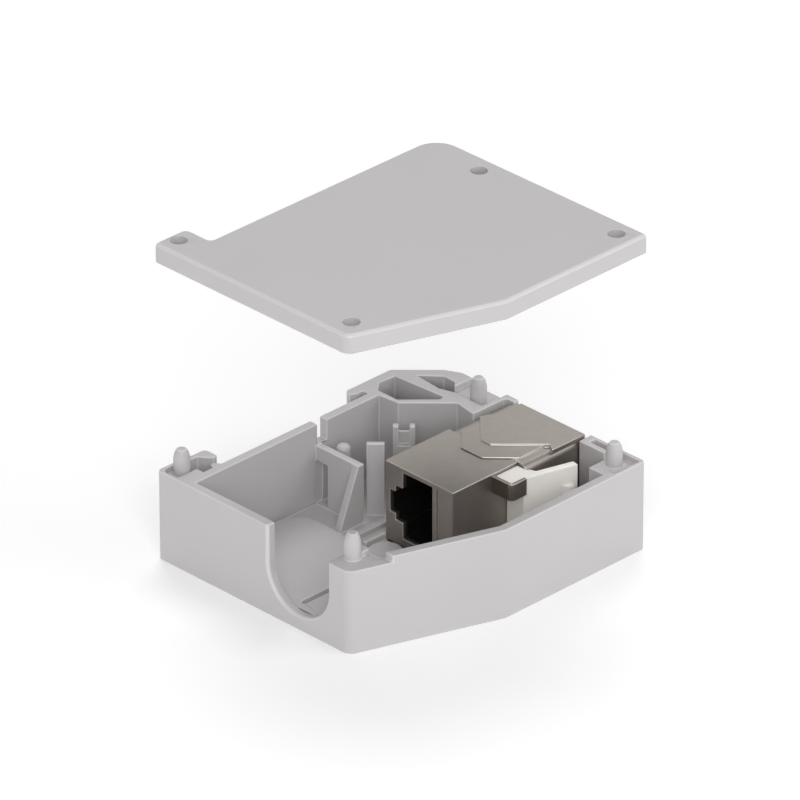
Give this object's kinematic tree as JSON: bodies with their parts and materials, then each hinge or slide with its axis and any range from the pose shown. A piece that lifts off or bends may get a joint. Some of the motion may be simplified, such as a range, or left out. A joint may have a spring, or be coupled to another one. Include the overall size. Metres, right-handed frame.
{
  "type": "din rail ethernet coupler",
  "caption": "Light grey side-lying case for a 35 mm rail with its cover lifted, a shielded modular coupler and an ivory latch inside.",
  "frame": {"origin": "centre of the base's footprint on the flat side it lies on", "axes": "+X from the cable outlet towards the front socket, +Y towards the rail, +Z across the case towards the lifted cover"},
  "size_m": [0.055, 0.0508, 0.0549],
  "materials": {
    "housing": "fine matte moulded",
    "nickel": "satin nickel plate on die-cast zinc",
    "jack_black": "moulded, black",
    "board": "green solder mask",
    "gold": "gold-plated spring",
    "ivory": "semi-gloss moulded",
    "clip_steel": "bent strip, satin"
  },
  "bodies": {
    "housing": {"base_housing": "housing", "shell_rear": "nickel", "shell_front": "nickel", "insert_rear": "jack_black", "insert_front": "jack_black", "circuit_board": "board", "contact_rear_1": "gold", "contact_rear_2": "gold", "contact_rear_3": "gold", "contact_rear_4": "gold", "contact_rear_5": "gold", "contact_rear_6": "gold", "contact_rear_7": "gold", "contact_rear_8": "gold", "contact_front_1": "gold", "contact_front_2": "gold", "contact_front_3": "gold", "contact_front_4": "gold", "contact_front_5": "gold", "contact_front_6": "gold", "contact_front_7": "gold", "contact_front_8": "gold", "latch_tongue": "ivory", "latch_clip": "clip_steel"},
    "cover": {"cover": "housing"}
  },
  "joints": [
    {"name": "cover_lift", "type": "slide", "parent": "housing", "child": "cover", "axis": [0, 0, 1], "range_m": [-0.03615, 0]}
  ]
}
